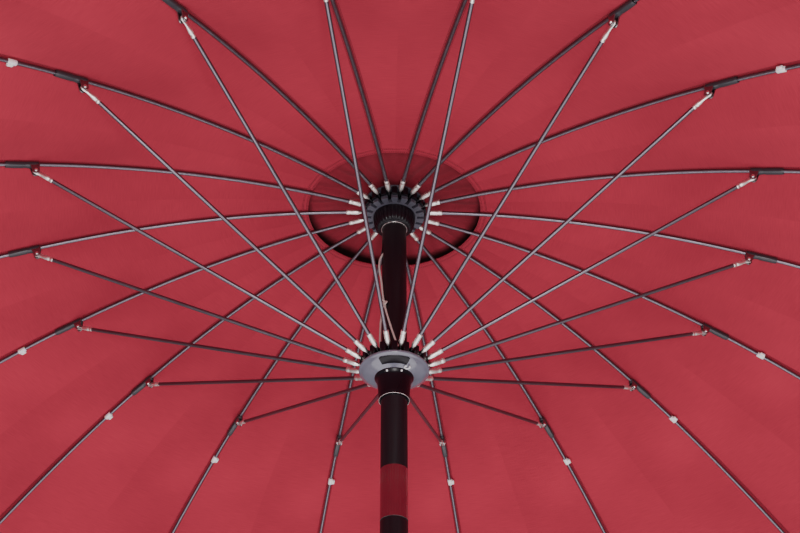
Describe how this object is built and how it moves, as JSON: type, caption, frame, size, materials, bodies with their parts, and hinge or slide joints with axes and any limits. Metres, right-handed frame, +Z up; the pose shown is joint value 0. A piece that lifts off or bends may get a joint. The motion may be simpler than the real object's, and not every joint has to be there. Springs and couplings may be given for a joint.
{
  "type": "patio umbrella with base",
  "caption": "Round garden parasol with a shallow domed fabric canopy on thin curved ribs and struts, a vented top, a winch-lifted runner, a slim pole and a round weighted base.",
  "frame": {"origin": "centre of the base's foot ring, on the ground", "axes": "+Z up along the pole; -Y is the side from which the canopy is seen"},
  "size_m": [2.4862, 2.4484, 2.3955],
  "materials": {
    "rod": "satin, pultruded glass fibre",
    "cloth": "woven polyester, matt",
    "crown": "satin moulded plastic",
    "runner": "glossy moulded plastic",
    "pole": "satin powder coat",
    "bright": "polished",
    "cord": "braided cord",
    "plastic": "textured moulded plastic",
    "weight": "coated concrete",
    "rubber": "matt"
  },
  "bodies": {
    "root": {"crown": "crown", "crown_pivot_wire": "bright", "crown_cap": "crown", "finial": "crown", "upper_pole": "pole", "pole_sleeve": "bright", "lower_pole": "pole", "pulley_pin": "bright", "lift_cord": "cord", "lift_cord_inner": "cord", "winch_housing": "plastic", "canopy": "cloth", "vent_cap": "cloth", "base_weight": "weight", "base_foot_ring": "rubber", "base_tube": "pole", "base_bushing": "plastic"},
    "runner": {"runner": "runner", "runner_liner": "runner"},
    "pulley": {"cord_pulley": "plastic"},
    "winch_crank": {"winch_drum": "plastic", "crank_arm": "plastic"},
    "crank_knob": {"crank_knob": "plastic"},
    "base_knob": {"base_knob": "plastic"},
    "rib_01": {"rib_01": "rod"},
    "strut_01": {"strut_01": "rod"},
    "rib_02": {"rib_02": "rod"},
    "strut_02": {"strut_02": "rod"},
    "rib_03": {"rib_03": "rod"},
    "strut_03": {"strut_03": "rod"},
    "rib_04": {"rib_04": "rod"},
    "strut_04": {"strut_04": "rod"},
    "rib_05": {"rib_05": "rod"},
    "strut_05": {"strut_05": "rod"},
    "rib_06": {"rib_06": "rod"},
    "strut_06": {"strut_06": "rod"},
    "rib_07": {"rib_07": "rod"},
    "strut_07": {"strut_07": "rod"},
    "rib_08": {"rib_08": "rod"},
    "strut_08": {"strut_08": "rod"},
    "rib_09": {"rib_09": "rod"},
    "strut_09": {"strut_09": "rod"},
    "rib_10": {"rib_10": "rod"},
    "strut_10": {"strut_10": "rod"},
    "rib_11": {"rib_11": "rod"},
    "strut_11": {"strut_11": "rod"},
    "rib_12": {"rib_12": "rod"},
    "strut_12": {"strut_12": "rod"},
    "rib_13": {"rib_13": "rod"},
    "strut_13": {"strut_13": "rod"},
    "rib_14": {"rib_14": "rod"},
    "strut_14": {"strut_14": "rod"},
    "rib_15": {"rib_15": "rod"},
    "strut_15": {"strut_15": "rod"},
    "rib_16": {"rib_16": "rod"},
    "strut_16": {"strut_16": "rod"},
    "rib_17": {"rib_17": "rod"},
    "strut_17": {"strut_17": "rod"},
    "rib_18": {"rib_18": "rod"},
    "strut_18": {"strut_18": "rod"}
  },
  "joints": [
    {"name": "canopy_fold", "type": "slide", "parent": "root", "child": "runner", "axis": [0, 0, -1], "range_m": [0, 0.7538], "deforming": ["canopy", "vent_cap", "lift_cord"]},
    {"name": "rib_01_hinge", "type": "hinge", "parent": "root", "child": "rib_01", "pos_m": [0.00764, -0.04333, 2.3], "axis": [0.9848, 0.1736, 0], "range_deg": [0, 70.6]},
    {"name": "strut_01_hinge", "type": "hinge", "parent": "rib_01", "child": "strut_01", "pos_m": [0.09594, -0.54411, 2.20706], "axis": [-0.9848, -0.1736, 0], "range_deg": [0, 129.9]},
    {"name": "rib_02_hinge", "type": "hinge", "parent": "root", "child": "rib_02", "pos_m": [0.022, -0.03811, 2.3], "axis": [0.866, 0.5, 0], "range_deg": [0, 70.6]},
    {"name": "strut_02_hinge", "type": "hinge", "parent": "rib_02", "child": "strut_02", "pos_m": [0.27625, -0.47848, 2.20706], "axis": [-0.866, -0.5, 0], "range_deg": [0, 129.9]},
    {"name": "rib_03_hinge", "type": "hinge", "parent": "root", "child": "rib_03", "pos_m": [0.03371, -0.02828, 2.3], "axis": [0.6428, 0.766, 0], "range_deg": [0, 70.6]},
    {"name": "strut_03_hinge", "type": "hinge", "parent": "rib_03", "child": "strut_03", "pos_m": [0.42324, -0.35514, 2.20706], "axis": [-0.6428, -0.766, 0], "range_deg": [0, 129.9]},
    {"name": "rib_04_hinge", "type": "hinge", "parent": "root", "child": "rib_04", "pos_m": [0.04135, -0.01505, 2.3], "axis": [0.342, 0.9397, 0], "range_deg": [0, 70.6]},
    {"name": "strut_04_hinge", "type": "hinge", "parent": "rib_04", "child": "strut_04", "pos_m": [0.51918, -0.18897, 2.20706], "axis": [-0.342, -0.9397, 0], "range_deg": [0, 129.9]},
    {"name": "rib_05_hinge", "type": "hinge", "parent": "root", "child": "rib_05", "pos_m": [0.044, 0, 2.3], "axis": [0, 1, 0], "range_deg": [0, 70.6]},
    {"name": "strut_05_hinge", "type": "hinge", "parent": "rib_05", "child": "strut_05", "pos_m": [0.5525, 0, 2.20706], "axis": [0, -1, 0], "range_deg": [0, 129.9]},
    {"name": "rib_06_hinge", "type": "hinge", "parent": "root", "child": "rib_06", "pos_m": [0.04135, 0.01505, 2.3], "axis": [-0.342, 0.9397, 0], "range_deg": [0, 70.6]},
    {"name": "strut_06_hinge", "type": "hinge", "parent": "rib_06", "child": "strut_06", "pos_m": [0.51918, 0.18897, 2.20706], "axis": [0.342, -0.9397, 0], "range_deg": [0, 129.9]},
    {"name": "rib_07_hinge", "type": "hinge", "parent": "root", "child": "rib_07", "pos_m": [0.03371, 0.02828, 2.3], "axis": [-0.6428, 0.766, 0], "range_deg": [0, 70.6]},
    {"name": "strut_07_hinge", "type": "hinge", "parent": "rib_07", "child": "strut_07", "pos_m": [0.42324, 0.35514, 2.20706], "axis": [0.6428, -0.766, 0], "range_deg": [0, 129.9]},
    {"name": "rib_08_hinge", "type": "hinge", "parent": "root", "child": "rib_08", "pos_m": [0.022, 0.03811, 2.3], "axis": [-0.866, 0.5, 0], "range_deg": [0, 70.6]},
    {"name": "strut_08_hinge", "type": "hinge", "parent": "rib_08", "child": "strut_08", "pos_m": [0.27625, 0.47848, 2.20706], "axis": [0.866, -0.5, 0], "range_deg": [0, 129.9]},
    {"name": "rib_09_hinge", "type": "hinge", "parent": "root", "child": "rib_09", "pos_m": [0.00764, 0.04333, 2.3], "axis": [-0.9848, 0.1736, 0], "range_deg": [0, 70.6]},
    {"name": "strut_09_hinge", "type": "hinge", "parent": "rib_09", "child": "strut_09", "pos_m": [0.09594, 0.54411, 2.20706], "axis": [0.9848, -0.1736, 0], "range_deg": [0, 129.9]},
    {"name": "rib_10_hinge", "type": "hinge", "parent": "root", "child": "rib_10", "pos_m": [-0.00764, 0.04333, 2.3], "axis": [-0.9848, -0.1736, 0], "range_deg": [0, 70.6]},
    {"name": "strut_10_hinge", "type": "hinge", "parent": "rib_10", "child": "strut_10", "pos_m": [-0.09594, 0.54411, 2.20706], "axis": [0.9848, 0.1736, 0], "range_deg": [0, 129.9]},
    {"name": "rib_11_hinge", "type": "hinge", "parent": "root", "child": "rib_11", "pos_m": [-0.022, 0.03811, 2.3], "axis": [-0.866, -0.5, 0], "range_deg": [0, 70.6]},
    {"name": "strut_11_hinge", "type": "hinge", "parent": "rib_11", "child": "strut_11", "pos_m": [-0.27625, 0.47848, 2.20706], "axis": [0.866, 0.5, 0], "range_deg": [0, 129.9]},
    {"name": "rib_12_hinge", "type": "hinge", "parent": "root", "child": "rib_12", "pos_m": [-0.03371, 0.02828, 2.3], "axis": [-0.6428, -0.766, 0], "range_deg": [0, 70.6]},
    {"name": "strut_12_hinge", "type": "hinge", "parent": "rib_12", "child": "strut_12", "pos_m": [-0.42324, 0.35514, 2.20706], "axis": [0.6428, 0.766, 0], "range_deg": [0, 129.9]},
    {"name": "rib_13_hinge", "type": "hinge", "parent": "root", "child": "rib_13", "pos_m": [-0.04135, 0.01505, 2.3], "axis": [-0.342, -0.9397, 0], "range_deg": [0, 70.6]},
    {"name": "strut_13_hinge", "type": "hinge", "parent": "rib_13", "child": "strut_13", "pos_m": [-0.51918, 0.18897, 2.20706], "axis": [0.342, 0.9397, 0], "range_deg": [0, 129.9]},
    {"name": "rib_14_hinge", "type": "hinge", "parent": "root", "child": "rib_14", "pos_m": [-0.044, 0, 2.3], "axis": [0, -1, 0], "range_deg": [0, 70.6]},
    {"name": "strut_14_hinge", "type": "hinge", "parent": "rib_14", "child": "strut_14", "pos_m": [-0.5525, 0, 2.20706], "axis": [0, 1, 0], "range_deg": [0, 129.9]},
    {"name": "rib_15_hinge", "type": "hinge", "parent": "root", "child": "rib_15", "pos_m": [-0.04135, -0.01505, 2.3], "axis": [0.342, -0.9397, 0], "range_deg": [0, 70.6]},
    {"name": "strut_15_hinge", "type": "hinge", "parent": "rib_15", "child": "strut_15", "pos_m": [-0.51918, -0.18897, 2.20706], "axis": [-0.342, 0.9397, 0], "range_deg": [0, 129.9]},
    {"name": "rib_16_hinge", "type": "hinge", "parent": "root", "child": "rib_16", "pos_m": [-0.03371, -0.02828, 2.3], "axis": [0.6428, -0.766, 0], "range_deg": [0, 70.6]},
    {"name": "strut_16_hinge", "type": "hinge", "parent": "rib_16", "child": "strut_16", "pos_m": [-0.42324, -0.35514, 2.20706], "axis": [-0.6428, 0.766, 0], "range_deg": [0, 129.9]},
    {"name": "rib_17_hinge", "type": "hinge", "parent": "root", "child": "rib_17", "pos_m": [-0.022, -0.03811, 2.3], "axis": [0.866, -0.5, 0], "range_deg": [0, 70.6]},
    {"name": "strut_17_hinge", "type": "hinge", "parent": "rib_17", "child": "strut_17", "pos_m": [-0.27625, -0.47848, 2.20706], "axis": [-0.866, 0.5, 0], "range_deg": [0, 129.9]},
    {"name": "rib_18_hinge", "type": "hinge", "parent": "root", "child": "rib_18", "pos_m": [-0.00764, -0.04333, 2.3], "axis": [0.9848, -0.1736, 0], "range_deg": [0, 70.6]},
    {"name": "strut_18_hinge", "type": "hinge", "parent": "rib_18", "child": "strut_18", "pos_m": [-0.09594, -0.54411, 2.20706], "axis": [-0.9848, 0.1736, 0], "range_deg": [0, 129.9]},
    {"name": "pulley_spin", "type": "hinge", "parent": "root", "child": "pulley", "pos_m": [-0.00338, -0.00091, 2.224], "axis": [0.2588, -0.9659, 0], "range_deg": [0, 4700]},
    {"name": "winch_turn", "type": "hinge", "parent": "root", "child": "winch_crank", "pos_m": [0, 0, 0.945], "axis": [1, 0, 0], "range_deg": [0, 4700]},
    {"name": "crank_knob_spin", "type": "hinge", "parent": "winch_crank", "child": "crank_knob", "pos_m": [0.08, 0, 0.857], "axis": [1, 0, 0], "continuous": true},
    {"name": "base_knob_turn", "type": "hinge", "parent": "root", "child": "base_knob", "pos_m": [0, -0.051, 0.33], "axis": [0, -1, 0], "continuous": true}
  ],
  "couplings": [
    {"joint": "rib_01_hinge", "follows": "canopy_fold", "rad_per_m": 1.6322},
    {"joint": "strut_01_hinge", "follows": "canopy_fold", "rad_per_m": 3.0059},
    {"joint": "rib_02_hinge", "follows": "canopy_fold", "rad_per_m": 1.6322},
    {"joint": "strut_02_hinge", "follows": "canopy_fold", "rad_per_m": 3.0059},
    {"joint": "rib_03_hinge", "follows": "canopy_fold", "rad_per_m": 1.6322},
    {"joint": "strut_03_hinge", "follows": "canopy_fold", "rad_per_m": 3.0059},
    {"joint": "rib_04_hinge", "follows": "canopy_fold", "rad_per_m": 1.6322},
    {"joint": "strut_04_hinge", "follows": "canopy_fold", "rad_per_m": 3.0059},
    {"joint": "rib_05_hinge", "follows": "canopy_fold", "rad_per_m": 1.6322},
    {"joint": "strut_05_hinge", "follows": "canopy_fold", "rad_per_m": 3.0059},
    {"joint": "rib_06_hinge", "follows": "canopy_fold", "rad_per_m": 1.6322},
    {"joint": "strut_06_hinge", "follows": "canopy_fold", "rad_per_m": 3.0059},
    {"joint": "rib_07_hinge", "follows": "canopy_fold", "rad_per_m": 1.6322},
    {"joint": "strut_07_hinge", "follows": "canopy_fold", "rad_per_m": 3.0059},
    {"joint": "rib_08_hinge", "follows": "canopy_fold", "rad_per_m": 1.6322},
    {"joint": "strut_08_hinge", "follows": "canopy_fold", "rad_per_m": 3.0059},
    {"joint": "rib_09_hinge", "follows": "canopy_fold", "rad_per_m": 1.6322},
    {"joint": "strut_09_hinge", "follows": "canopy_fold", "rad_per_m": 3.0059},
    {"joint": "rib_10_hinge", "follows": "canopy_fold", "rad_per_m": 1.6322},
    {"joint": "strut_10_hinge", "follows": "canopy_fold", "rad_per_m": 3.0059},
    {"joint": "rib_11_hinge", "follows": "canopy_fold", "rad_per_m": 1.6322},
    {"joint": "strut_11_hinge", "follows": "canopy_fold", "rad_per_m": 3.0059},
    {"joint": "rib_12_hinge", "follows": "canopy_fold", "rad_per_m": 1.6322},
    {"joint": "strut_12_hinge", "follows": "canopy_fold", "rad_per_m": 3.0059},
    {"joint": "rib_13_hinge", "follows": "canopy_fold", "rad_per_m": 1.6322},
    {"joint": "strut_13_hinge", "follows": "canopy_fold", "rad_per_m": 3.0059},
    {"joint": "rib_14_hinge", "follows": "canopy_fold", "rad_per_m": 1.6322},
    {"joint": "strut_14_hinge", "follows": "canopy_fold", "rad_per_m": 3.0059},
    {"joint": "rib_15_hinge", "follows": "canopy_fold", "rad_per_m": 1.6322},
    {"joint": "strut_15_hinge", "follows": "canopy_fold", "rad_per_m": 3.0059},
    {"joint": "rib_16_hinge", "follows": "canopy_fold", "rad_per_m": 1.6322},
    {"joint": "strut_16_hinge", "follows": "canopy_fold", "rad_per_m": 3.0059},
    {"joint": "rib_17_hinge", "follows": "canopy_fold", "rad_per_m": 1.6322},
    {"joint": "strut_17_hinge", "follows": "canopy_fold", "rad_per_m": 3.0059},
    {"joint": "rib_18_hinge", "follows": "canopy_fold", "rad_per_m": 1.6322},
    {"joint": "strut_18_hinge", "follows": "canopy_fold", "rad_per_m": 3.0059},
    {"joint": "pulley_spin", "follows": "canopy_fold", "rad_per_m": 108.7},
    {"joint": "winch_turn", "follows": "canopy_fold", "rad_per_m": 108.7}
  ]
}
